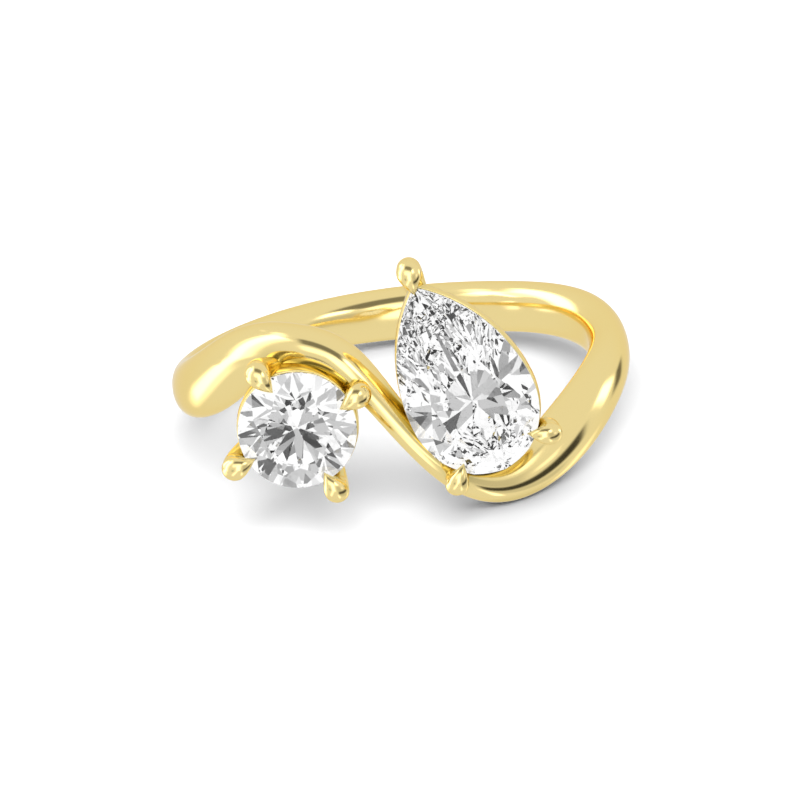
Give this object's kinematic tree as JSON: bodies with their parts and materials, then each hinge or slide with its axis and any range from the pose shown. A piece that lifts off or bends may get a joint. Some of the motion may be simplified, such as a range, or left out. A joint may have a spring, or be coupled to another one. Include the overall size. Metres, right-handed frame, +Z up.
{
  "type": "diamond ring",
  "caption": "Bypass finger ring lying on its side: a curved gold wire band whose ends carry a round and a pear-shaped faceted stone in claw settings.",
  "frame": {"origin": "middle of the ring's footprint, on the surface that it lies on", "axes": "+Z up from that surface and close to the finger hole's axis, -Y towards the stones' tables, +X to the right as the stones are looked at"},
  "size_m": [0.0207, 0.0228, 0.012],
  "materials": {
    "gold": "polished 18 carat yellow gold",
    "diamond": "clear, with flat polished facets"
  },
  "bodies": {
    "root": {"gold_mount": "gold", "round_diamond": "diamond", "pear_diamond": "diamond"}
  },
  "joints": []
}
